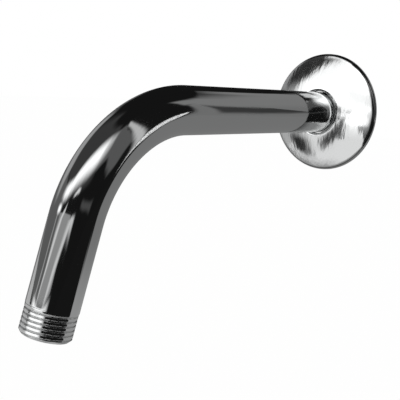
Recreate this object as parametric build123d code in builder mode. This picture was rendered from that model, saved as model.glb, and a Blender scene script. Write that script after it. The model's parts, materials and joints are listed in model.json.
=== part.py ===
from build123d import *
import os
from math import asin, degrees

# Wall-mounted shower arm: a bent pipe, threaded at both ends, and a loose pressed wall flange.
# Millimetres, +Z up. The origin is where the arm's axis meets the wall face, and the arm leaves along -Y.

# Pipe: outside diameter and wall of half-inch pipe
pipe_diameter = 21.3
pipe_wall = 2.65

# Centreline: level run out of the wall, one bend downwards, then the drop to the outlet
wall_to_bend = 112.0
bend_radius = 56.0
bend_angle = 76.0
drop_length = 46.0

# Threaded ends: the pipe is skimmed to the major diameter of a G1/2 thread, 20.955
thread_skim = 0.1725
wall_thread_length = 15.0
wall_thread_runout = 2.0
outlet_thread_length = 12.0
thread_chamfer = 1.1
mouth_chamfer = 0.5

# Wall flange: one thin sheet pressed to a low dome, with its hole's edge bevelled and turned in along the pipe
flange_diameter = 62.0
flange_sheet = 0.9
flange_skirt = 0.4
flange_shoulder_radius = 3.0
flange_crown_radius = 68.0
flange_lip_bevel = 1.6
flange_lip_depth = 1.0
flange_clearance = 0.35

pipe_radius = pipe_diameter / 2
bore_radius = pipe_radius - pipe_wall
thread_radius = pipe_radius - thread_skim
flange_radius = flange_diameter / 2
flange_hole_radius = pipe_radius + flange_clearance

# The crown is a sphere centred on the pipe's axis. These are its slopes in degrees
# where it runs into the shoulder and where it stops at the bevel of the hole's lip.
shoulder_slope = degrees(asin(
    (flange_radius - flange_shoulder_radius) / (flange_crown_radius - flange_shoulder_radius)
))
lip_slope = degrees(asin((flange_hole_radius + flange_lip_bevel) / flange_crown_radius))

# Arm: pipe swept along its centreline, with both ends turned down for their threads
with BuildPart() as arm:
    with BuildLine(Plane.YZ) as centreline:
        level_run = Line((wall_thread_length, 0), (-wall_to_bend, 0))
        bend = JernArc(level_run @ 1, level_run % 1, bend_radius, bend_angle)
        drop = Line(bend @ 1, bend @ 1 + (bend % 1) * drop_length)
    wall_end = Plane(level_run @ 0, x_dir=(1, 0, 0), z_dir=(level_run % 0) * -1)
    outlet_end = Plane(drop @ 1, x_dir=(1, 0, 0), z_dir=drop % 1)
    with BuildSketch(wall_end):
        Circle(pipe_radius)
        Circle(bore_radius, mode=Mode.SUBTRACT)
    sweep()
    threaded_ends = (
        (wall_end, wall_thread_length + wall_thread_runout),
        (outlet_end, outlet_thread_length),
    )
    for end, thread_length in threaded_ends:
        with BuildSketch(end):
            Circle(pipe_diameter)
            Circle(thread_radius, mode=Mode.SUBTRACT)
        extrude(amount=-thread_length, mode=Mode.SUBTRACT)
    for end, _ in threaded_ends:
        mouth, rim = arm.faces().sort_by(Axis(end.origin, end.z_dir))[-1].edges().sort_by(SortBy.RADIUS)
        chamfer(rim, thread_chamfer)
        chamfer(mouth, mouth_chamfer)

# Wall flange: the front line of the pressing from rim to lip, and straight runs one sheet behind it, revolved
with BuildPart() as wall_flange:
    with BuildSketch(Plane.YZ):
        with BuildLine():
            skirt = Line((0, flange_radius), (-flange_skirt, flange_radius))
            shoulder = JernArc(skirt @ 1, skirt % 1, flange_shoulder_radius, 90 - shoulder_slope)
            crown = JernArc(shoulder @ 1, shoulder % 1, flange_crown_radius, shoulder_slope - lip_slope)
            bevel = Line(crown @ 1, crown @ 1 + (flange_lip_bevel, -flange_lip_bevel))
            lip = Line(bevel @ 1, bevel @ 1 + (flange_lip_depth, 0))
            chords = Polyline(
                skirt @ 0, skirt @ 1, crown @ 0, crown @ 0.5, crown @ 1, lip @ 0, lip @ 1, mode=Mode.PRIVATE
            )
            add(chords.offset_2d(flange_sheet, kind=Kind.INTERSECTION, side=Side.LEFT, closed=False))
            Line(skirt @ 0, skirt @ 0 - (0, flange_sheet))
            Line(lip @ 1, lip @ 1 + (0, flange_sheet))
        make_face()
    revolve(axis=Axis.Y)

os.makedirs("parts", exist_ok=True)
arm.part.label = "arm"
export_step(arm.part, "parts/arm.step")
wall_flange.part.label = "wall_flange"
export_step(wall_flange.part, "parts/wall_flange.step")
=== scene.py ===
import json
from math import asin, cos, pi, radians, sin

import bmesh
import bpy
from bpy.props import FloatProperty, FloatVectorProperty, IntProperty, PointerProperty
from bpy.types import Operator, Panel, PropertyGroup
from mathutils import Matrix, Vector


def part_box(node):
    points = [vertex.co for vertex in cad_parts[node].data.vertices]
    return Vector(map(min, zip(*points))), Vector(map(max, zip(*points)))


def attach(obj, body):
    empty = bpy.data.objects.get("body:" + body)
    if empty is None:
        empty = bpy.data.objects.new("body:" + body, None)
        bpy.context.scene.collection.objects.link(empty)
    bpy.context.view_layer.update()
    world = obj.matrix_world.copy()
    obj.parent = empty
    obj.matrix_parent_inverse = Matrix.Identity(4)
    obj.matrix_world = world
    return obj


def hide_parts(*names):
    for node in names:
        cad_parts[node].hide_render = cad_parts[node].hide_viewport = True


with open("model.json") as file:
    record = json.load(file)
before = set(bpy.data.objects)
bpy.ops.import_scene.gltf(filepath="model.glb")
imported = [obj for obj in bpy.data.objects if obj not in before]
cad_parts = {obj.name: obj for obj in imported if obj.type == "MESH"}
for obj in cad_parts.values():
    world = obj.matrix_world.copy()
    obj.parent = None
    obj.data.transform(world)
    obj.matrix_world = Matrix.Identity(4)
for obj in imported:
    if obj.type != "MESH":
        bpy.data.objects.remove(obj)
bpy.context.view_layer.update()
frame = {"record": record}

bl_info = {
    "name": "Shower Arm",
    "version": (1, 0, 0),
    "blender": (4, 5, 0),
    "location": "3D View > Sidebar > Shower Arm",
    "description": "Dresses a bent chrome shower arm and its wall flange, and sets the stage for them",
    "category": "Object",
}

MM = 0.001
WHITE = (1.0, 1.0, 1.0, 1.0)
# Edges that turn by more than this stay crisp
SHARP_ANGLE = radians(40.0)
# The studio stands round the middle of the bend, in a room of this radius
BEND_MIDDLE = Vector((0.0, -140.0 * MM, -15.0 * MM))
ROOM_RADIUS = 3.4

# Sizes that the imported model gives
arm_low, arm_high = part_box("arm")
flange_low, flange_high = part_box("wall_flange")
wall_mount = next(m for m in frame["record"]["mounts"] if m["name"] == "wall_thread")


def linear(hex_colour):
    """Linear red, green and blue of an sRGB colour written as six hex digits."""
    channels = [int(hex_colour[i:i + 2], 16) / 255 for i in (0, 2, 4)]
    return tuple(c / 12.92 if c <= 0.04045 else ((c + 0.055) / 1.055) ** 2.4 for c in channels)


def add(tree, kind, inputs=None, **settings):
    """A new node with its settings. An input is linked where it is given a socket, and set otherwise."""
    node = tree.nodes.new(kind)
    for name, value in settings.items():
        setattr(node, name, value)
    for socket, value in (inputs or {}).items():
        if isinstance(value, bpy.types.NodeSocket):
            tree.links.new(value, node.inputs[socket])
        else:
            node.inputs[socket].default_value = value
    return node


class ArmSettings(PropertyGroup):
    pipe_diameter: FloatProperty(
        name="Pipe diameter", description="Outside diameter of the pipe",
        default=arm_high.x - arm_low.x, unit="LENGTH", subtype="DISTANCE")
    bore_diameter: FloatProperty(
        name="Bore diameter", description="Diameter of the waterway through the pipe",
        default=16.0 * MM, unit="LENGTH", subtype="DISTANCE")
    level_run: FloatProperty(
        name="Level run", description="From the wall face to the start of the bend",
        default=112.0 * MM, unit="LENGTH", subtype="DISTANCE")
    bend_radius: FloatProperty(
        name="Bend radius", description="Radius of the pipe's centreline in the bend",
        default=56.0 * MM, unit="LENGTH", subtype="DISTANCE")
    bend_angle: FloatProperty(
        name="Bend angle", description="How far the pipe turns down",
        default=radians(76.0), unit="ROTATION", subtype="ANGLE")
    drop: FloatProperty(
        name="Drop", description="From the end of the bend to the outlet",
        default=46.0 * MM, unit="LENGTH", subtype="DISTANCE")
    wall_end: FloatProperty(
        name="Wall end", description="How far the pipe goes into the wall",
        default=arm_high.y, unit="LENGTH", subtype="DISTANCE")
    thread_diameter: FloatProperty(
        name="Thread diameter", description="Diameter over the polished crests of the threads at both ends",
        default=(2 * wall_mount["dims"]["r_mm"] - 0.02) * MM, unit="LENGTH", subtype="DISTANCE")
    thread_pitch: FloatProperty(
        name="Thread pitch", description="Distance from one crest of the thread to the next",
        default=1.814 * MM, unit="LENGTH", subtype="DISTANCE")
    thread_depth: FloatProperty(
        name="Thread depth", description="Depth of the groove that is left open after plating and polishing",
        default=0.42 * MM, unit="LENGTH", subtype="DISTANCE")
    wall_thread: FloatProperty(
        name="Wall thread", description="Length of the thread at the wall, with its run-out",
        default=17.0 * MM, unit="LENGTH", subtype="DISTANCE")
    outlet_thread: FloatProperty(
        name="Outlet thread", description="Length of the thread at the outlet, with its run-out",
        default=12.0 * MM, unit="LENGTH", subtype="DISTANCE")
    thread_runout: FloatProperty(
        name="Thread run-out", description="Length over which the groove fades out towards the plain pipe",
        default=2.2 * MM, unit="LENGTH", subtype="DISTANCE")
    end_chamfer: FloatProperty(
        name="End chamfer", description="Bevel on the rim of each threaded end",
        default=1.13 * MM, unit="LENGTH", subtype="DISTANCE")
    mouth_chamfer: FloatProperty(
        name="Mouth chamfer", description="Bevel on the edge of the bore at each end",
        default=0.5 * MM, unit="LENGTH", subtype="DISTANCE")
    segments: IntProperty(
        name="Segments", description="Flats round the pipe", default=112, min=12)
    plate_colour: FloatVectorProperty(
        name="Plate", description="Chrome plate on the polished pipe",
        default=linear("DADBDB"), size=3, min=0.0, max=1.0, subtype="COLOR")
    groove_colour: FloatVectorProperty(
        name="Groove", description="Duller chrome in the roots of the threads",
        default=linear("C8C9C9"), size=3, min=0.0, max=1.0, subtype="COLOR")


class FlangeSettings(PropertyGroup):
    diameter: FloatProperty(
        name="Diameter", description="Outside diameter of the wall flange",
        default=flange_high.z - flange_low.z, unit="LENGTH", subtype="DISTANCE")
    sheet: FloatProperty(
        name="Sheet", description="Thickness of the pressed sheet",
        default=0.9 * MM, unit="LENGTH", subtype="DISTANCE")
    skirt: FloatProperty(
        name="Skirt", description="Straight stretch of the rim next to the wall",
        default=0.4 * MM, unit="LENGTH", subtype="DISTANCE")
    shoulder_radius: FloatProperty(
        name="Shoulder radius", description="Rounding between the rim and the crown",
        default=3.0 * MM, unit="LENGTH", subtype="DISTANCE")
    crown_radius: FloatProperty(
        name="Crown radius", description="Radius of the domed front",
        default=68.0 * MM, unit="LENGTH", subtype="DISTANCE")
    hole_diameter: FloatProperty(
        name="Hole diameter", description="Hole that the pipe goes through",
        default=22.0 * MM, unit="LENGTH", subtype="DISTANCE")
    lip_radius: FloatProperty(
        name="Lip radius", description="Rounding of the hole's turned-in edge",
        default=1.6 * MM, unit="LENGTH", subtype="DISTANCE")
    lip_depth: FloatProperty(
        name="Lip depth", description="Straight stretch of the turned-in edge along the pipe",
        default=1.0 * MM, unit="LENGTH", subtype="DISTANCE")
    segments: IntProperty(
        name="Segments", description="Steps round the flange", default=192, min=24)
    plate_colour: FloatVectorProperty(
        name="Plate", description="Chrome plate on the pressed sheet",
        default=linear("D7D8D8"), size=3, min=0.0, max=1.0, subtype="COLOR")


class StageSettings(PropertyGroup):
    camera_azimuth: FloatProperty(
        name="Camera azimuth", description="Where the camera stands, turned from the front towards +X",
        default=radians(40.72), unit="ROTATION", subtype="ANGLE")
    camera_elevation: FloatProperty(
        name="Camera elevation", description="How far the camera stands above the horizon",
        default=radians(11.91), unit="ROTATION", subtype="ANGLE")
    camera_roll: FloatProperty(
        name="Camera roll", description="How far the camera leans over",
        default=radians(6.17), unit="ROTATION", subtype="ANGLE")
    camera_distance: FloatProperty(
        name="Camera distance", description="From the camera to the point it looks at",
        default=321.1 * MM, unit="LENGTH", subtype="DISTANCE")
    camera_aim: FloatVectorProperty(
        name="Camera aim", description="Point in the middle of the picture",
        default=(0.13 * MM, -95.64 * MM, -40.67 * MM), size=3, unit="LENGTH", subtype="XYZ")
    lens: FloatProperty(
        name="Lens", description="Focal length on a sensor 36 mm wide", default=63.52)
    floor_height: FloatProperty(
        name="Floor height", description="Height of the floor under the arm",
        default=-360.0 * MM, unit="LENGTH", subtype="DISTANCE")
    floor_colour: FloatVectorProperty(
        name="Floor", description="Plain pale floor",
        default=linear("F7F7F6"), size=3, min=0.0, max=1.0, subtype="COLOR")


def chrome_pipe_material(settings):
    # Bright chrome plate on drawn, polished brass pipe: a near mirror that shows the studio in long
    # stripes, with faint hairlines along the pipe from the polishing belt, and duller thread roots.
    material = bpy.data.materials.new("chrome_plate_on_polished_pipe")
    material.use_nodes = True
    tree = material.node_tree
    tree.nodes.clear()
    straight = add(tree, "ShaderNodeAttribute", attribute_name="straight").outputs["Vector"]
    groove = add(tree, "ShaderNodeAttribute", attribute_name="groove").outputs["Fac"]
    # Real belt lines are a few hundredths of a millimetre wide, and are drawn wider here so that they show
    hairline_width = 0.5 * MM
    hairline_length = 40.0 * MM
    hairline_scale = (1 / hairline_width, 1 / hairline_width, 1 / hairline_length)
    hairline_place = add(tree, "ShaderNodeMapping", {"Vector": straight, "Scale": hairline_scale})
    hairlines = add(
        tree, "ShaderNodeTexNoise",
        {"Vector": hairline_place.outputs[0], "Scale": 1.0, "Detail": 3.0, "Roughness": 0.6})
    smudge_size = 14.0 * MM
    smudges = add(
        tree, "ShaderNodeTexNoise",
        {"Vector": straight, "Scale": 1 / smudge_size, "Detail": 4.0, "Roughness": 0.55})
    haze = add(
        tree, "ShaderNodeMapRange",
        {"Value": smudges.outputs[0], "From Min": 0.35, "From Max": 0.75, "To Min": 0.035, "To Max": 0.075})
    added_in_roots = 0.06
    root_haze = add(
        tree, "ShaderNodeMath",
        {0: groove, 1: added_in_roots, 2: haze.outputs[0]}, operation="MULTIPLY_ADD")
    colour = add(
        tree, "ShaderNodeMix",
        {"Factor": groove, "A": (*settings.plate_colour, 1.0), "B": (*settings.groove_colour, 1.0)},
        data_type="RGBA")
    # Long shallow waves from drawing and bending the pipe, which make the stripes waver
    wave_width = 7.0 * MM
    wave_length = 45.0 * MM
    wave_place = add(
        tree, "ShaderNodeMapping",
        {"Vector": straight, "Scale": (1 / wave_width, 1 / wave_width, 1 / wave_length)})
    waves = add(
        tree, "ShaderNodeTexNoise",
        {"Vector": wave_place.outputs[0], "Scale": 1.0, "Detail": 2.0, "Roughness": 0.5})
    waviness = add(
        tree, "ShaderNodeBump",
        {"Height": waves.outputs[0], "Strength": 1.0, "Distance": 0.15 * MM})
    bump = add(
        tree, "ShaderNodeBump",
        {"Height": hairlines.outputs[0], "Strength": 0.15, "Distance": 0.02 * MM,
         "Normal": waviness.outputs[0]})
    shader = add(
        tree, "ShaderNodeBsdfPrincipled",
        {"Base Color": colour.outputs[2], "Metallic": 1.0, "Roughness": root_haze.outputs[0],
         "Normal": bump.outputs[0]})
    add(tree, "ShaderNodeOutputMaterial", {"Surface": shader.outputs[0]})
    return material


def chrome_flange_material(settings):
    # Bright chrome plate on pressed brass sheet: softer reflections than the pipe's, because a pressing
    # isn't ground after it is formed, with fine wiping streaks that run up and down.
    material = bpy.data.materials.new("chrome_plate_on_pressed_sheet")
    material.use_nodes = True
    tree = material.node_tree
    tree.nodes.clear()
    place = add(tree, "ShaderNodeTexCoord").outputs["Object"]
    # Wiping leaves finer streaks than these, which are drawn wider so that they show
    streak_width = 2.2 * MM
    streak_length = 11.0 * MM
    streak_scale = (1 / streak_width, 1 / streak_width, 1 / streak_length)
    streak_place = add(tree, "ShaderNodeMapping", {"Vector": place, "Scale": streak_scale})
    streaks = add(
        tree, "ShaderNodeTexNoise",
        {"Vector": streak_place.outputs[0], "Scale": 1.0, "Detail": 2.0, "Roughness": 0.5})
    smudge_size = 9.0 * MM
    smudges = add(
        tree, "ShaderNodeTexNoise",
        {"Vector": place, "Scale": 1 / smudge_size, "Detail": 4.0, "Roughness": 0.55})
    haze = add(
        tree, "ShaderNodeMapRange",
        {"Value": smudges.outputs[0], "From Min": 0.3, "From Max": 0.75, "To Min": 0.09, "To Max": 0.15})
    bump = add(
        tree, "ShaderNodeBump",
        {"Height": streaks.outputs[0], "Strength": 1.0, "Distance": 0.11 * MM})
    shader = add(
        tree, "ShaderNodeBsdfPrincipled",
        {"Base Color": (*settings.plate_colour, 1.0), "Metallic": 1.0, "Roughness": haze.outputs[0],
         "Normal": bump.outputs[0]})
    add(tree, "ShaderNodeOutputMaterial", {"Surface": shader.outputs[0]})
    return material


def centreline_point(settings, length):
    """Point on the arm's centreline, at this length from the end in the wall."""
    straight = settings.wall_end + settings.level_run
    bend = settings.bend_radius * settings.bend_angle
    if length <= straight:
        return Vector((0.0, settings.wall_end - length, 0.0))
    turned = min((length - straight) / settings.bend_radius, settings.bend_angle)
    point = Vector((
        0.0,
        -settings.level_run - settings.bend_radius * sin(turned),
        -settings.bend_radius * (1 - cos(turned))))
    beyond = max(length - straight - bend, 0.0)
    return point + beyond * Vector((0.0, -cos(turned), -sin(turned)))


def ring_lengths(settings, wall_stretch, outlet_stretch, end_step):
    """Lengths along the centreline that get a ring: end_step apart in the stretch at each end."""
    straight = settings.wall_end + settings.level_run
    bend = settings.bend_radius * settings.bend_angle
    whole = straight + bend + settings.drop
    bend_step = radians(1.5) * settings.bend_radius
    run_step = 6.0 * MM
    stretches = [
        (0.0, wall_stretch, end_step),
        (wall_stretch, straight, run_step),
        (straight, straight + bend, bend_step),
        (straight + bend, whole - outlet_stretch, run_step),
        (whole - outlet_stretch, whole, end_step),
    ]
    lengths = [0.0]
    for start, end, step in stretches:
        count = max(1, round((end - start) / step))
        lengths += [start + (end - start) * i / count for i in range(1, count + 1)]
    return lengths


def threaded_pipe_tree():
    """Geometry Nodes: sweeps the pipe's skin and its bore along a spline each, and cuts the threads."""
    tree = bpy.data.node_groups.new("threaded_pipe", "GeometryNodeTree")
    face = tree.interface
    face.new_socket(name="Geometry", in_out="INPUT", socket_type="NodeSocketGeometry")
    for name in ("Pipe Radius", "Bore Radius", "Thread Radius", "Pitch", "Depth", "Wall Thread",
                 "Outlet Thread", "Run-out", "End Chamfer", "Mouth Chamfer"):
        face.new_socket(name=name, in_out="INPUT", socket_type="NodeSocketFloat").subtype = "DISTANCE"
    face.new_socket(name="Segments", in_out="INPUT", socket_type="NodeSocketInt")
    face.new_socket(name="Material", in_out="INPUT", socket_type="NodeSocketMaterial")
    face.new_socket(name="Geometry", in_out="OUTPUT", socket_type="NodeSocketGeometry")
    given = add(tree, "NodeGroupInput").outputs

    # Each ring remembers where it is along the centreline
    path = add(tree, "GeometryNodeCaptureAttribute", {"Geometry": given["Geometry"]}, domain="POINT")
    for kind, name in (("FLOAT", "Along"), ("FLOAT", "Whole"), ("VECTOR", "Core"), ("VECTOR", "Tangent")):
        path.capture_items.new(kind, name)
    tree.links.new(add(tree, "GeometryNodeSplineParameter").outputs["Length"], path.inputs["Along"])
    tree.links.new(add(tree, "GeometryNodeSplineLength").outputs["Length"], path.inputs["Whole"])
    tree.links.new(add(tree, "GeometryNodeInputPosition").outputs[0], path.inputs["Core"])
    tree.links.new(add(tree, "GeometryNodeInputTangent").outputs[0], path.inputs["Tangent"])
    along, core, tangent = path.outputs["Along"], path.outputs["Core"], path.outputs["Tangent"]
    from_wall_end = along
    from_outlet_end = add(
        tree, "ShaderNodeMath", {0: path.outputs["Whole"], 1: along}, operation="SUBTRACT").outputs[0]
    from_nearer_end = add(
        tree, "ShaderNodeMath", {0: from_wall_end, 1: from_outlet_end}, operation="MINIMUM").outputs[0]

    # Direction out from the centreline, and the angle round it, right-handed about the tangent
    place = add(tree, "GeometryNodeInputPosition").outputs[0]
    outward = add(tree, "ShaderNodeVectorMath", {0: place, 1: core}, operation="SUBTRACT").outputs[0]
    outward = add(tree, "ShaderNodeVectorMath", {0: outward}, operation="NORMALIZE").outputs[0]
    sideways = (1.0, 0.0, 0.0)
    upright = add(
        tree, "ShaderNodeVectorMath", {0: tangent, 1: sideways}, operation="CROSS_PRODUCT").outputs[0]
    rise = add(
        tree, "ShaderNodeVectorMath", {0: outward, 1: upright}, operation="DOT_PRODUCT").outputs["Value"]
    reach = add(
        tree, "ShaderNodeVectorMath", {0: outward, 1: sideways}, operation="DOT_PRODUCT").outputs["Value"]
    angle = add(tree, "ShaderNodeMath", {0: rise, 1: reach}, operation="ARCTAN2").outputs[0]
    turn = add(tree, "ShaderNodeMath", {0: angle, 1: 2 * pi}, operation="DIVIDE").outputs[0]

    # How much of the thread's depth is cut: all of it at the end, fading out over the run-out. The pipe is
    # skimmed down to the thread's diameter over the same length.
    cuts = []
    skims = []
    threads = ((from_wall_end, given["Wall Thread"]), (from_outlet_end, given["Outlet Thread"]))
    for distance, thread in threads:
        fade_start = add(
            tree, "ShaderNodeMath", {0: thread, 1: given["Run-out"]}, operation="SUBTRACT").outputs[0]
        fade = {"Value": distance, "From Min": fade_start, "From Max": thread, "To Min": 1.0, "To Max": 0.0}
        cuts.append(add(tree, "ShaderNodeMapRange", fade).outputs[0])
        skims.append(add(tree, "ShaderNodeMapRange", fade, interpolation_type="SMOOTHSTEP").outputs[0])
    cut_amount = add(tree, "ShaderNodeMath", {0: cuts[0], 1: cuts[1]}, operation="MAXIMUM").outputs[0]
    skim_amount = add(tree, "ShaderNodeMath", {0: skims[0], 1: skims[1]}, operation="MAXIMUM").outputs[0]

    # Pipe thread form: flanks at 55 degrees to each other. The root is rounded off by a sixth of the sharp
    # vee's height, and the crest by as much as brings the groove to its depth.
    pitch = given["Pitch"]
    cut_depth = given["Depth"]
    vee_height_in_pitches = 0.9605
    rounding_in_pitches = 0.09
    share_above_root = 5 / 6
    vee_height = add(
        tree, "ShaderNodeMath", {0: pitch, 1: vee_height_in_pitches}, operation="MULTIPLY").outputs[0]
    groove_bottom = add(
        tree, "ShaderNodeMath", {0: vee_height, 1: share_above_root}, operation="MULTIPLY").outputs[0]
    crest_trim = add(
        tree, "ShaderNodeMath", {0: groove_bottom, 1: cut_depth}, operation="SUBTRACT").outputs[0]
    rounding = add(
        tree, "ShaderNodeMath", {0: pitch, 1: rounding_in_pitches}, operation="MULTIPLY").outputs[0]
    pitches = add(tree, "ShaderNodeMath", {0: along, 1: pitch}, operation="DIVIDE").outputs[0]
    phase = add(tree, "ShaderNodeMath", {0: pitches, 1: turn}, operation="SUBTRACT").outputs[0]
    wave = add(tree, "ShaderNodeMath", {0: phase, 1: 0.5}, operation="PINGPONG").outputs[0]
    vee = add(tree, "ShaderNodeMath", {0: wave, 1: 2.0}, operation="MULTIPLY").outputs[0]
    vee = add(tree, "ShaderNodeMath", {0: vee, 1: vee_height}, operation="MULTIPLY").outputs[0]
    vee = add(tree, "ShaderNodeMath", {0: vee, 1: crest_trim}, operation="SUBTRACT").outputs[0]
    vee = add(tree, "ShaderNodeMath", {0: vee, 1: cut_depth, 2: rounding}, operation="SMOOTH_MIN").outputs[0]
    vee = add(tree, "ShaderNodeMath", {0: vee, 1: 0.0, 2: rounding}, operation="SMOOTH_MAX").outputs[0]
    cut = add(tree, "ShaderNodeMath", {0: vee, 1: cut_amount}, operation="MULTIPLY").outputs[0]
    groove = add(tree, "ShaderNodeMath", {0: cut, 1: cut_depth}, operation="DIVIDE").outputs[0]

    # Radius of the outside: pipe or thread, less the cut, and no more than the end's bevel leaves
    skin = add(
        tree, "ShaderNodeMix",
        {0: skim_amount, 2: given["Pipe Radius"], 3: given["Thread Radius"]}, data_type="FLOAT").outputs[0]
    radius = add(tree, "ShaderNodeMath", {0: skin, 1: cut}, operation="SUBTRACT").outputs[0]
    bevel = add(
        tree, "ShaderNodeMath",
        {0: given["Thread Radius"], 1: given["End Chamfer"]}, operation="SUBTRACT").outputs[0]
    bevel = add(tree, "ShaderNodeMath", {0: bevel, 1: from_nearer_end}, operation="ADD").outputs[0]
    radius = add(tree, "ShaderNodeMath", {0: radius, 1: bevel}, operation="MINIMUM").outputs[0]

    # Radius of the bore, opened by the bevel at each mouth
    mouth = add(
        tree, "ShaderNodeMath",
        {0: given["Mouth Chamfer"], 1: from_nearer_end}, operation="SUBTRACT").outputs[0]
    mouth = add(tree, "ShaderNodeMath", {0: mouth, 1: 0.0}, operation="MAXIMUM").outputs[0]
    bore_radius = add(
        tree, "ShaderNodeMath", {0: given["Bore Radius"], 1: mouth}, operation="ADD").outputs[0]

    # The same point on the pipe before it was bent, for patterns that run along it
    flat_x = add(
        tree, "ShaderNodeMath", {0: reach, 1: given["Pipe Radius"]}, operation="MULTIPLY").outputs[0]
    flat_y = add(
        tree, "ShaderNodeMath", {0: rise, 1: given["Pipe Radius"]}, operation="MULTIPLY").outputs[0]
    straight = add(tree, "ShaderNodeCombineXYZ", {0: flat_x, 1: flat_y, 2: along}).outputs[0]

    ring = add(
        tree, "GeometryNodeCurvePrimitiveCircle",
        {"Resolution": given["Segments"], "Radius": given["Pipe Radius"]})
    # The skin follows the first spline, number 0, and the bore the second
    number = add(tree, "GeometryNodeInputIndex").outputs[0]
    paths = add(
        tree, "GeometryNodeSeparateGeometry",
        {"Geometry": path.outputs["Geometry"], "Selection": number}, domain="CURVE").outputs
    walls = []
    for route, wall_radius, wall_groove in (
            (paths["Inverted"], radius, groove), (paths["Selection"], bore_radius, 0.0)):
        wall = add(
            tree, "GeometryNodeCurveToMesh",
            {"Curve": route, "Profile Curve": ring.outputs["Curve"]}).outputs["Mesh"]
        wall = add(
            tree, "GeometryNodeStoreNamedAttribute",
            {"Geometry": wall, "Name": "straight", "Value": straight},
            data_type="FLOAT_VECTOR", domain="POINT").outputs[0]
        wall = add(
            tree, "GeometryNodeStoreNamedAttribute",
            {"Geometry": wall, "Name": "groove", "Value": wall_groove},
            data_type="FLOAT", domain="POINT").outputs[0]
        step = add(
            tree, "ShaderNodeVectorMath", {0: outward, "Scale": wall_radius}, operation="SCALE").outputs[0]
        target = add(tree, "ShaderNodeVectorMath", {0: core, 1: step}, operation="ADD").outputs[0]
        wall = add(tree, "GeometryNodeSetPosition", {"Geometry": wall, "Position": target}).outputs[0]
        walls.append(wall)
    bore_wall = add(tree, "GeometryNodeFlipFaces", {"Mesh": walls[1]}).outputs[0]
    both = add(tree, "GeometryNodeJoinGeometry")
    tree.links.new(walls[0], both.inputs[0])
    tree.links.new(bore_wall, both.inputs[0])
    real = add(tree, "GeometryNodeRealizeInstances", {"Geometry": both.outputs[0]}).outputs[0]
    smooth = add(tree, "GeometryNodeSetShadeSmooth", {"Geometry": real, "Shade Smooth": True}).outputs[0]
    dressed = add(
        tree, "GeometryNodeSetMaterial", {"Geometry": smooth, "Material": given["Material"]}).outputs[0]
    add(tree, "NodeGroupOutput", {"Geometry": dressed})
    return tree


class SHOWER_OT_arm(Operator):
    """Builds the bent pipe with a thread at each end"""
    bl_idname = "shower.build_arm"
    bl_label = "Build Arm"

    def execute(self, context):
        settings = context.scene.shower_arm
        material = chrome_pipe_material(settings)
        rings_per_pitch = 24
        thread_step = settings.thread_pitch / rings_per_pitch
        # The close rings start a little before each thread, so that the plain pipe stays flat up to it
        lead = 0.5 * MM
        skin_lengths = ring_lengths(
            settings, settings.wall_thread + lead, settings.outlet_thread + lead, thread_step)
        mouth = settings.mouth_chamfer
        bore_lengths = ring_lengths(settings, mouth, mouth, mouth)
        path = bpy.data.curves.new("arm_centreline", "CURVE")
        path.dimensions = "3D"
        path.twist_mode = "Z_UP"
        for lengths in (skin_lengths, bore_lengths):
            spline = path.splines.new("POLY")
            spline.points.add(len(lengths) - 1)
            for point, length in zip(spline.points, lengths):
                point.co = (*centreline_point(settings, length), 1.0)
        swept = bpy.data.objects.new("arm_sweep", path)
        context.scene.collection.objects.link(swept)

        tree = threaded_pipe_tree()
        modifier = swept.modifiers.new("threaded_pipe", "NODES")
        modifier.node_group = tree
        values = {
            "Pipe Radius": settings.pipe_diameter / 2,
            "Bore Radius": settings.bore_diameter / 2,
            "Thread Radius": settings.thread_diameter / 2,
            "Pitch": settings.thread_pitch,
            "Depth": settings.thread_depth,
            "Wall Thread": settings.wall_thread,
            "Outlet Thread": settings.outlet_thread,
            "Run-out": settings.thread_runout,
            "End Chamfer": settings.end_chamfer,
            "Mouth Chamfer": settings.mouth_chamfer,
            "Segments": settings.segments,
            "Material": material,
        }
        for socket in tree.interface.items_tree:
            if socket.in_out == "INPUT" and socket.name in values:
                modifier[socket.identifier] = values[socket.name]
        context.view_layer.update()
        mesh = bpy.data.meshes.new_from_object(swept.evaluated_get(context.evaluated_depsgraph_get()))
        bpy.data.objects.remove(swept)
        if not mesh.polygons:
            raise RuntimeError("the pipe's sweep came out empty")

        # The sweep leaves both ends open: a flat ring joins the skin to the bore there
        shell = bmesh.new()
        shell.from_mesh(mesh)
        open_edges = [e for e in shell.edges if e.is_boundary]
        middle = centreline_point(settings, skin_lengths[-1] / 2)
        wall_edges = [e for e in open_edges if e.verts[0].co.y > middle.y]
        outlet_edges = [e for e in open_edges if e.verts[0].co.y <= middle.y]
        for edges in (wall_edges, outlet_edges):
            bmesh.ops.bridge_loops(shell, edges=edges)
        bmesh.ops.recalc_face_normals(shell, faces=shell.faces)
        shell.to_mesh(mesh)
        shell.free()
        mesh.set_sharp_from_angle(angle=SHARP_ANGLE)

        arm = bpy.data.objects.new("plated_arm", mesh)
        context.scene.collection.objects.link(arm)
        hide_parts("arm")
        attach(arm, "arm")
        return {"FINISHED"}


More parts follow.
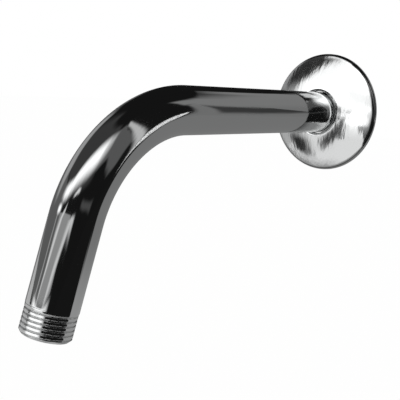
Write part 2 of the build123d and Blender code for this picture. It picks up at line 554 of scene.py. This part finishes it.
def flange_section(settings):
    """Half of the flange's section as (distance from the wall, radius) points: front skin, then back."""
    radius = settings.diameter / 2
    shoulder_slope = asin(
        (radius - settings.shoulder_radius) / (settings.crown_radius - settings.shoulder_radius))
    lip_reach = settings.hole_diameter / 2 + settings.lip_radius
    lip_slope = asin(lip_reach / (settings.crown_radius - settings.lip_radius))
    quarter = pi / 2
    # Each stretch turns the heading from one angle to the next on one radius; a straight one has a length.
    # Heading 0 points to the axis and a quarter turn points out of the wall.
    stretches = [
        (quarter, quarter, settings.skirt, 1),
        (quarter, shoulder_slope, settings.shoulder_radius, 14),
        (shoulder_slope, lip_slope, settings.crown_radius, 28),
        (lip_slope, -quarter, settings.lip_radius, 16),
        (-quarter, -quarter, settings.lip_depth, 1),
    ]
    front = [(0.0, radius)]
    back = [(0.0, radius - settings.sheet)]
    for start, end, size, steps in stretches:
        origin = front[-1]
        for i in range(1, steps + 1):
            heading = start + (end - start) * i / steps
            if start == end:
                out = origin[0] + size * sin(start) * i / steps
                away = origin[1] - size * cos(start) * i / steps
            else:
                out = origin[0] + size * (cos(heading) - cos(start))
                away = origin[1] - size * (sin(start) - sin(heading))
            front.append((out, away))
            back.append((out - settings.sheet * cos(heading), away - settings.sheet * sin(heading)))
    return front + back[::-1]


class SHOWER_OT_flange(Operator):
    """Builds the pressed wall flange round the pipe"""
    bl_idname = "shower.build_flange"
    bl_label = "Build Flange"

    def execute(self, context):
        settings = context.scene.shower_flange
        shell = bmesh.new()
        section = [shell.verts.new((0.0, -out, away)) for out, away in flange_section(settings)]
        edges = [shell.edges.new(pair) for pair in zip(section, section[1:] + section[:1])]
        bmesh.ops.spin(
            shell, geom=section + edges, axis=(0.0, 1.0, 0.0), cent=(0.0, 0.0, 0.0),
            angle=2 * pi, steps=settings.segments, use_merge=True)
        bmesh.ops.remove_doubles(shell, verts=shell.verts, dist=0.001 * MM)
        bmesh.ops.recalc_face_normals(shell, faces=shell.faces)
        mesh = bpy.data.meshes.new("plated_flange")
        shell.to_mesh(mesh)
        shell.free()
        mesh.shade_smooth()
        mesh.set_sharp_from_angle(angle=SHARP_ANGLE)
        mesh.materials.append(chrome_flange_material(settings))
        flange = bpy.data.objects.new("plated_flange", mesh)
        context.scene.collection.objects.link(flange)
        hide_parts("wall_flange")
        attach(flange, "flange")
        return {"FINISHED"}


def card_material(name, strength, fade, gauze):
    """A card that glows on its front and is clear from behind. It fades out along and across, over these
    shares of each half of it. A card of gauze also lets what is behind it show through."""
    material = bpy.data.materials.new(name)
    material.use_nodes = True
    tree = material.node_tree
    tree.nodes.clear()
    place = add(tree, "ShaderNodeTexCoord").outputs["UV"]
    axes = add(tree, "ShaderNodeSeparateXYZ", {0: place})
    back = add(tree, "ShaderNodeNewGeometry").outputs["Backfacing"]
    share = add(tree, "ShaderNodeMath", {0: 1.0, 1: back}, operation="SUBTRACT").outputs[0]
    for axis in (0, 1):
        edge = add(tree, "ShaderNodeMath", {0: axes.outputs[axis], 1: 0.5}, operation="PINGPONG").outputs[0]
        shown = add(
            tree, "ShaderNodeMapRange",
            {"Value": edge, "From Min": 0.0, "From Max": fade[axis] / 2, "To Min": 0.0, "To Max": 1.0},
            interpolation_type="SMOOTHSTEP").outputs[0]
        share = add(tree, "ShaderNodeMath", {0: share, 1: shown}, operation="MULTIPLY").outputs[0]
    clear = add(tree, "ShaderNodeBsdfTransparent")
    if gauze:
        strength = add(tree, "ShaderNodeMath", {0: share, 1: strength}, operation="MULTIPLY").outputs[0]
    glow = add(tree, "ShaderNodeEmission", {"Color": WHITE, "Strength": strength})
    if gauze:
        card = add(tree, "ShaderNodeAddShader", {0: clear.outputs[0], 1: glow.outputs[0]})
    else:
        card = add(tree, "ShaderNodeMixShader", {0: share, 1: clear.outputs[0], 2: glow.outputs[0]})
    add(tree, "ShaderNodeOutputMaterial", {"Surface": card.outputs[0]})
    return material


def hide_from_camera(prop):
    """Leaves a studio prop to reflections alone."""
    bpy.context.scene.collection.objects.link(prop)
    prop.visible_camera = False
    prop.visible_shadow = False
    prop.visible_diffuse = False


def studio_card(name, low_edge, high_edge, strength, fade, gauze=False, lights=None):
    """A glowing card between two edges, each a row of points. Where it is given a collection to light, its
    glow reaches that alone."""
    count = len(low_edge)
    mesh = bpy.data.meshes.new(name)
    faces = [(i + 1, i, count + i, count + i + 1) for i in range(count - 1)]
    mesh.from_pydata([*low_edge, *high_edge], [], faces)
    layer = mesh.uv_layers.new(name="card")
    for loop in mesh.loops:
        row, station = divmod(loop.vertex_index, count)
        layer.data[loop.index].uv = (station / (count - 1), row)
    mesh.materials.append(card_material(name, strength, fade, gauze))
    card = bpy.data.objects.new(name, mesh)
    hide_from_camera(card)
    if lights is not None:
        card.light_linking.receiver_collection = lights


def collection_of(name, piece):
    """A collection that holds one piece, for the cards that light nothing else."""
    collection = bpy.data.collections.new(name)
    collection.objects.link(bpy.data.objects[piece])
    return collection


def from_bend(azimuth, elevation, distance):
    """Point at this distance from the middle of the bend, in a direction given in degrees."""
    azimuth, elevation = radians(azimuth), radians(elevation)
    out = Vector((sin(azimuth) * cos(elevation), -cos(azimuth) * cos(elevation), sin(elevation)))
    return BEND_MIDDLE + out * distance


def photo_camera(scene, settings):
    """The camera, where the photograph was taken from."""
    azimuth, elevation = settings.camera_azimuth, settings.camera_elevation
    back = Vector((sin(azimuth) * cos(elevation), -cos(azimuth) * cos(elevation), sin(elevation)))
    right = Vector((cos(azimuth), sin(azimuth), 0.0))
    up = back.cross(right)
    level = Matrix((right, up, back)).transposed()
    lean = Matrix.Rotation(settings.camera_roll, 3, "Z")
    lens = bpy.data.cameras.new("photo_camera")
    lens.lens = settings.lens
    lens.sensor_width = 36.0
    lens.clip_start = 10.0 * MM
    camera = bpy.data.objects.new("photo_camera", lens)
    scene.collection.objects.link(camera)
    camera.matrix_world = (level @ lean).to_4x4()
    camera.location = Vector(settings.camera_aim) + back * settings.camera_distance
    scene.camera = camera


def white_backdrop(scene):
    """A plain white world."""
    world = bpy.data.worlds.new("white_studio")
    world.use_nodes = True
    tree = world.node_tree
    tree.nodes.clear()
    backdrop = add(tree, "ShaderNodeBackground", {"Color": WHITE, "Strength": 1.0})
    add(tree, "ShaderNodeOutputWorld", {"Surface": backdrop.outputs[0]})
    scene.world = world


def pale_floor(scene, settings):
    """A plain pale floor, mostly pure white to the camera and in reflections. The rest takes shadows."""
    white_share = 0.9
    reach = 3.5
    corners = ((-reach, -reach), (reach, -reach), (reach, reach), (-reach, reach))
    mesh = bpy.data.meshes.new("floor")
    mesh.from_pydata([(x, y, settings.floor_height) for x, y in corners], [], [(0, 1, 2, 3)])
    floor = bpy.data.objects.new("floor", mesh)
    scene.collection.objects.link(floor)
    paint = bpy.data.materials.new("white_painted_board")
    paint.use_nodes = True
    tree = paint.node_tree
    tree.nodes.clear()
    ray = add(tree, "ShaderNodeLightPath").outputs
    seen = add(
        tree, "ShaderNodeMath",
        {0: ray["Is Camera Ray"], 1: ray["Is Glossy Ray"]}, operation="MAXIMUM").outputs[0]
    seen = add(
        tree, "ShaderNodeMath", {0: seen, 1: ray["Is Transmission Ray"]}, operation="MAXIMUM").outputs[0]
    share = add(tree, "ShaderNodeMath", {0: seen, 1: white_share}, operation="MULTIPLY").outputs[0]
    board = add(tree, "ShaderNodeBsdfDiffuse", {"Color": (*settings.floor_colour, 1.0)})
    white = add(tree, "ShaderNodeEmission", {"Color": WHITE, "Strength": 1.0})
    mixed = add(tree, "ShaderNodeMixShader", {0: share, 1: board.outputs[0], 2: white.outputs[0]})
    add(tree, "ShaderNodeOutputMaterial", {"Surface": mixed.outputs[0]})
    mesh.materials.append(paint)


def dark_room():
    """A dark room round the arm, for the cards to hang in."""
    glow_of_cloth = 0.009
    mesh = bpy.data.meshes.new("dark_room")
    shell = bmesh.new()
    bmesh.ops.create_uvsphere(shell, u_segments=48, v_segments=24, radius=ROOM_RADIUS)
    shell.to_mesh(mesh)
    shell.free()
    black = bpy.data.materials.new("black_cloth")
    black.use_nodes = True
    tree = black.node_tree
    tree.nodes.clear()
    glow = add(tree, "ShaderNodeEmission", {"Color": WHITE, "Strength": glow_of_cloth})
    add(tree, "ShaderNodeOutputMaterial", {"Surface": glow.outputs[0]})
    mesh.materials.append(black)
    hide_from_camera(bpy.data.objects.new("dark_room", mesh))


class SHOWER_OT_stage(Operator):
    """Sets the camera, the pale floor, the white backdrop and the soft boxes"""
    bl_idname = "shower.build_stage"
    bl_label = "Build Stage"

    def execute(self, context):
        scene = context.scene
        settings = scene.shower_stage
        scene.view_settings.view_transform = "Standard"
        photo_camera(scene, settings)
        white_backdrop(scene)
        pale_floor(scene, settings)
        dark_room()

        # Cards bent round the arm: name, distance from the bend, strength, fade along and across, and
        # stations of azimuth, low and high elevation in degrees
        cards = (
            ("key_box", 1.8, 1.5, (0.4, 0.9), (
                (-48, 12, 26), (-36, 13, 29), (-26, 13, 34), (-14, 16, 48), (-2, 20, 58),
                (10, 24, 64), (22, 26, 67), (36, 27, 68), (52, 29, 68), (70, 31, 68))),
            ("side_panel", 2.2, 0.12, (0.2, 0.3), (
                (46, 32, 62), (60, 28, 66), (74, 30, 68), (86, 16, 54), (98, 6, 38), (112, 2, 16))),
            ("line_light", 1.9, 0.62, (0.2, 0.8), (
                (78, 60, 73), (86, 53, 67), (92, 45, 60), (98, 35, 52), (104, 24, 42),
                (110, 14, 31), (116, 6, 20), (122, -2, 10), (125, -6, 4))),
            ("low_front", 1.9, 0.34, (0.2, 0.1), ((-25, -1.2, 10), (0, -0.5, 12), (26, -0.8, 10))),
            ("table_edge", 1.8, 1.5, (0.6, 0.1), (
                (-50, -14, -4), (-36, -14, -2.2), (-18, -14, -0.9),
                (4, -14, -0.5), (20, -14, -0.7), (32, -14, -1))),
            ("first_streak", 1.8, 0.8, (0.3, 0.9), ((-23, -6, 5), (-16, 0, 10), (-8, 6, 16), (-1, 11, 22))),
            ("second_streak", 1.8, 0.75, (0.3, 0.9), ((6, -4, 4), (18, -1, 8), (30, 3, 11), (44, 0, 10))),
            ("third_streak", 1.7, 0.9, (0.6, 0.9), ((8, 20, 25), (20, 22, 29), (34, 21, 27))),
            ("fourth_streak", 1.8, 0.4, (0.8, 0.3), ((-40, -6, 6), (-36, -5, 8), (-32, -4, 9))),
            ("spot", 1.7, 1.5, (0.8, 0.9), ((-45, 5, 12), (-34, 6, 15), (-22, 8, 15))),
            ("left_patch", 2.0, 0.4, (0.5, 0.6), (
                (-116, 0, 28), (-102, 2, 38), (-86, 0, 34), (-74, 0, 28), (-62, 4, 22))),
            ("left_base", 2.3, 0.13, (0.1, 0.06), (
                (-130, -12, 22), (-90, -9, 22), (-70, -7, 22), (-50, -5.5, 22), (-20, -1.8, 22))),
            ("high_base", 2.3, 0.05, (0.2, 0.3), (
                (-100, 18, 70), (-60, 18, 74), (-20, 18, 78), (20, 20, 78), (60, 20, 74))),
            ("low_line", 1.8, 0.08, (0.3, 0.9), ((48, 10, 18), (62, 5, 13), (76, 1, 8), (92, -5, 3))),
            ("wall_high", 1.9, 0.24, (0.1, 0.7), (
                (134, 24, 56), (148, 12, 46), (160, 14, 44), (180, 18, 44), (196, 26, 42))),
            ("wall_middle", 2.2, 0.21, (0.1, 0.1), ((136, -14, 26), (160, -14, 30), (200, -14, 30))),
        )
        for name, distance, strength, fade, stations in cards:
            low_edge = [from_bend(azimuth, low, distance) for azimuth, low, _ in stations]
            high_edge = [from_bend(azimuth, high, distance) for azimuth, _, high in stations]
            studio_card(name, low_edge, high_edge, strength, fade)

        # A narrow window in panes, with upright bars between them, in degrees as seen from the bend
        panes = 8
        pane_width, pane_step = 0.85, 1.35
        window_side, window_low, window_high = 125.2, -8.0, 5.5
        low_rise, high_rise = 0.4, 0.3
        window_distance = 1.8
        for pane in range(panes):
            side = window_side + pane_step * pane
            low, high = window_low + low_rise * pane, window_high + high_rise * pane
            low_edge = [from_bend(azimuth, low, window_distance) for azimuth in (side, side + pane_width)]
            high_edge = [from_bend(azimuth, high, window_distance) for azimuth in (side, side + pane_width)]
            studio_card(f"window_pane_{pane}", low_edge, high_edge, 1.5, (0.1, 0.5))

        # Cards beside the pipe that face the wall and light the flange alone: name, strength, fade along and
        # across, gauze or not, and stations of X, low and high Z in millimetres. The bright one is gauze, so
        # that the pipe doesn't show it. Their plane is nearer the wall than the middle of the arm, because
        # further out the pipe would show them edge-on from both sides, as a dark line.
        flange_only = collection_of("flange_only", "plated_flange")
        card_plane = -70.0 * MM
        flange_cards = (
            ("flange_card", 1.4, (0.6, 0.6), True, (
                (-188, 13, 31), (-139, 3, 46), (-103, -9, 66), (-74, -18, 92), (-44, -25, 122),
                (2, -38, 184), (49, -47, 212), (84, -51, 212), (119, -54, 212))),
            ("flange_left_shade", 0.03, (0.8, 0.7), False, (
                (-210, -160, -70), (-155, -142, -54), (-108, -128, -46), (-66, -116, -42),
                (-40, -106, -42))),
            ("flange_right_shade", 0.05, (0.5, 0.8), False, (
                (-42, -88, -54), (-18, -72, -32), (2, -52, -12), (13, -36, 0), (23, -22, 8))),
            ("flange_top_shade", 0.03, (0.3, 0.6), False, (
                (-370, 20, 188), (-244, 20, 160), (-160, 31, 132), (-104, 49, 118), (-69, 73, 125),
                (-41, 93, 139))),
        )
        for name, strength, fade, gauze, stations in flange_cards:
            low_edge = [(x * MM, card_plane, low * MM) for x, low, _ in stations]
            high_edge = [(x * MM, card_plane, high * MM) for x, _, high in stations]
            studio_card(name, low_edge, high_edge, strength, fade, gauze, flange_only)

        # Cards close to the arm: name, strength, fade along and across, the collection that it lights alone
        # (as gauze), and the points of its low and high edge in millimetres. The first brightens the flange
        # where the pipe mirrors it. The second is a dark wedge on the wall side of the run, whose reflection
        # runs out towards the flange. The third stands close behind the drop and lights its right side.
        near_cards = (
            ("flange_top_light", 1.0, (0.3, 0.3), flange_only,
                ((-45, -43, 73), (15, -43, 73)), ((-45, -17, 99), (15, -17, 99))),
            ("run_shade", 0.05, (0.2, 0.7), None,
                ((100, 0, -22), (100, 50, -20), (100, 120, -6)),
                ((100, 0, 75), (100, 50, 58), (100, 120, 2))),
            ("drop_card", 0.37, (0.1, 0.5), None,
                ((80, -120, -260), (-20, -120, -260)), ((80, -120, -60), (-20, -120, -60))),
        )
        for name, strength, fade, lights, low_points, high_points in near_cards:
            low_edge = [Vector(point) * MM for point in low_points]
            high_edge = [Vector(point) * MM for point in high_points]
            studio_card(name, low_edge, high_edge, strength, fade, lights is not None, lights)

        # Mats that lie on the floor and dull its reflection: name, strength, height over the floor in
        # millimetres, fade along and across, the collection that it lights alone (as gauze), and the X and Y
        # of both edges. rim_mat darkens the flange's rim, and run_mat gives the pipe its light back there.
        arm_only = collection_of("arm_only", "plated_arm")
        far = ROOM_RADIUS
        hard = (0.05, 0.05)
        strip = (((0.5, -0.2), (-0.7, -0.2)), ((0.5, 0.12), (-0.7, 0.12)))
        mats = (
            ("wall_mat", 0.225, 4, hard, None, ((far, -0.17), (-far, -0.17)), ((far, far), (-far, far))),
            ("right_mat", 0.01, 8, hard, None, ((far, -far), (0.3, -far)), ((far, far), (0.3, 0.1))),
            ("left_mat", 0.56, 2, hard, None, ((-0.6, -far), (-far, -far)), ((-0.6, far), (-far, far))),
            ("flange_mat", 0.36, 6, (0.1, 0.9), None,
                ((0.34, -0.3), (0.1, -0.34), (-0.1, -0.34), (-0.3, -0.28), (-0.6, -0.16)),
                ((0.34, 0.0), (0.1, 0.0), (-0.1, 0.0), (-0.3, 0.0), (-0.6, 0.0))),
            ("rim_mat", 0.06, 5, (0.3, 0.6), None, *strip),
            ("run_mat", 0.2, 7, (0.3, 0.6), arm_only, *strip),
        )
        for name, strength, height, fade, lights, front_points, wall_points in mats:
            mat_height = settings.floor_height + height * MM
            front_edge = [(x, y, mat_height) for x, y in front_points]
            wall_edge = [(x, y, mat_height) for x, y in wall_points]
            studio_card(name, front_edge, wall_edge, strength, fade, lights is not None, lights)
        return {"FINISHED"}


class SHOWER_PT_panel(Panel):
    """Lists the pieces of the shower arm and their settings"""
    bl_idname = "SHOWER_PT_panel"
    bl_label = "Shower Arm"
    bl_space_type = "VIEW_3D"
    bl_region_type = "UI"
    bl_category = "Shower Arm"

    def draw(self, context):
        groups = (
            ("shower.build_arm", context.scene.shower_arm),
            ("shower.build_flange", context.scene.shower_flange),
            ("shower.build_stage", context.scene.shower_stage),
        )
        for operator, settings in groups:
            column = self.layout.box().column()
            column.operator(operator)
            for name in settings.__annotations__:
                column.prop(settings, name)


classes = (
    ArmSettings,
    FlangeSettings,
    StageSettings,
    SHOWER_OT_arm,
    SHOWER_OT_flange,
    SHOWER_OT_stage,
    SHOWER_PT_panel,
)


def register():
    for cls in classes:
        bpy.utils.register_class(cls)
    bpy.types.Scene.shower_arm = PointerProperty(type=ArmSettings)
    bpy.types.Scene.shower_flange = PointerProperty(type=FlangeSettings)
    bpy.types.Scene.shower_stage = PointerProperty(type=StageSettings)


def unregister():
    del bpy.types.Scene.shower_stage
    del bpy.types.Scene.shower_flange
    del bpy.types.Scene.shower_arm
    for cls in reversed(classes):
        bpy.utils.unregister_class(cls)


def main():
    register()
    bpy.ops.shower.build_arm()
    bpy.ops.shower.build_flange()
    bpy.ops.shower.build_stage()


if __name__ == "__main__":
    main()
